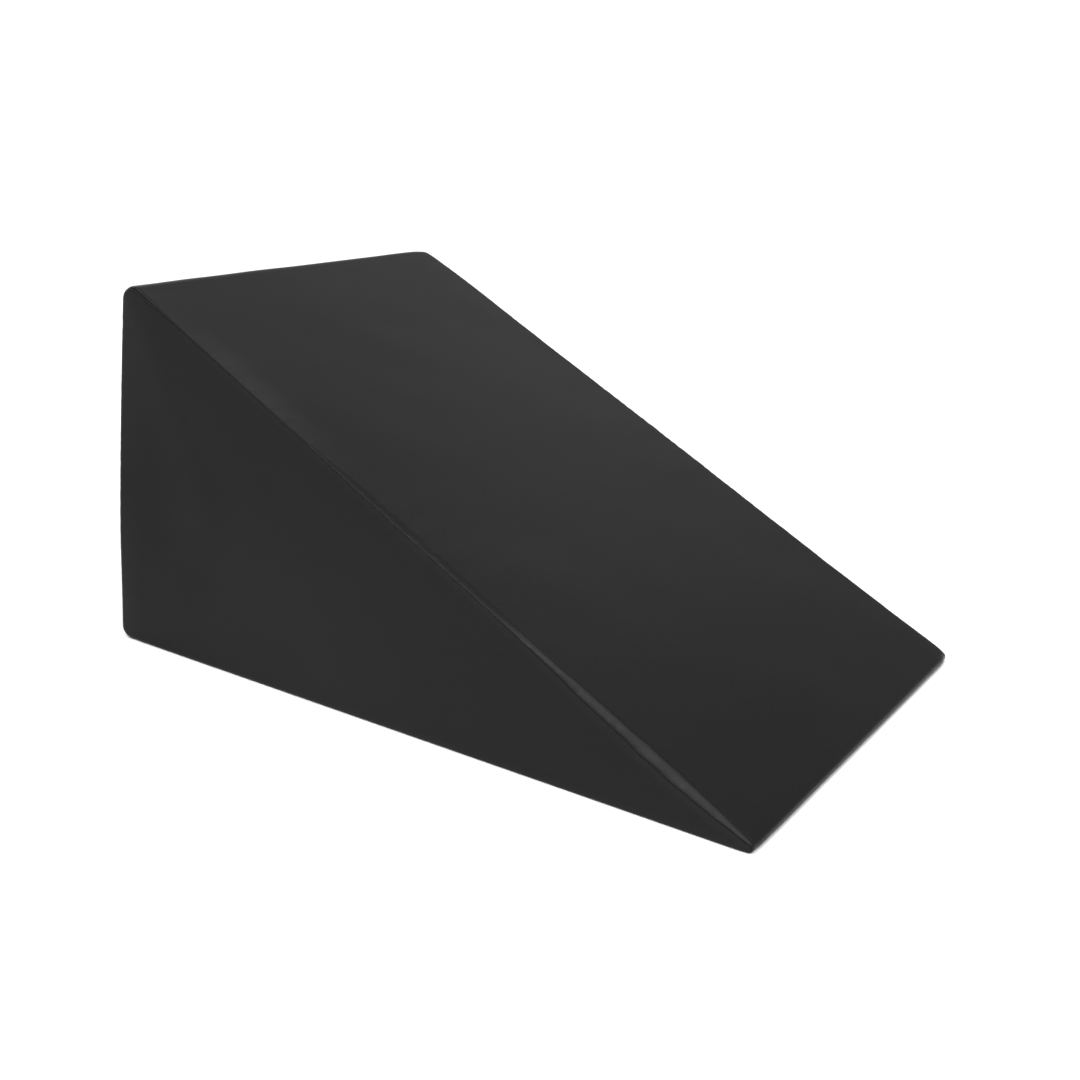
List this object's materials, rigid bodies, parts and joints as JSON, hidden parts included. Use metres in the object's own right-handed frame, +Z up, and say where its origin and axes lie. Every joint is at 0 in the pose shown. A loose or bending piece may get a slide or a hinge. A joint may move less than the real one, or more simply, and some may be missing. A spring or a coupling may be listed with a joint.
{
  "type": "slant board",
  "caption": "Soft foam wedge slant board for physiotherapy: a long slope from a thin toe up to a tall square back, in a sewn vinyl cover that a zip across the back closes.",
  "frame": {"origin": "middle of the base, on the surface the wedge lies on", "axes": "+Z up, +Y from the thin toe towards the tall back, X across the width"},
  "size_m": [0.4, 0.6036, 0.3018],
  "materials": {
    "vinyl": "satin",
    "foam": "matte",
    "thread": "satin",
    "zip_tape": "matte",
    "zip_coil": "satin",
    "zip_metal": "satin"
  },
  "bodies": {
    "wedge": {"foam_core": "foam", "slope_panel": "vinyl", "left_side_panel": "vinyl", "right_side_panel": "vinyl", "back_panel_upper": "vinyl", "back_panel_lower": "vinyl", "base_panel": "vinyl", "left_seam_thread": "thread", "right_seam_thread": "thread", "top_seam_thread": "thread", "toe_seam_thread": "thread", "heel_seam_thread": "thread", "zip_stitching_upper": "thread", "zip_stitching_lower": "thread", "zip_tape_upper": "zip_tape", "zip_tape_lower": "zip_tape", "zip_coil_upper": "zip_coil", "zip_coil_lower": "zip_coil", "zip_top_stop_upper": "zip_metal", "zip_top_stop_lower": "zip_metal", "zip_bottom_stop": "zip_metal"},
    "zip_slider": {"zip_slider_body": "zip_metal"},
    "zip_pull": {"zip_pull_tab": "zip_metal"}
  },
  "joints": [
    {"name": "zip_slide", "type": "slide", "parent": "wedge", "child": "zip_slider", "axis": [-1, 0, 0], "range_m": [0, 0.354]},
    {"name": "zip_pull_hinge", "type": "hinge", "parent": "zip_slider", "child": "zip_pull", "pos_m": [0.177, 0.30165, 0.062], "axis": [0, 0, -1], "range_deg": [0, 175]}
  ]
}
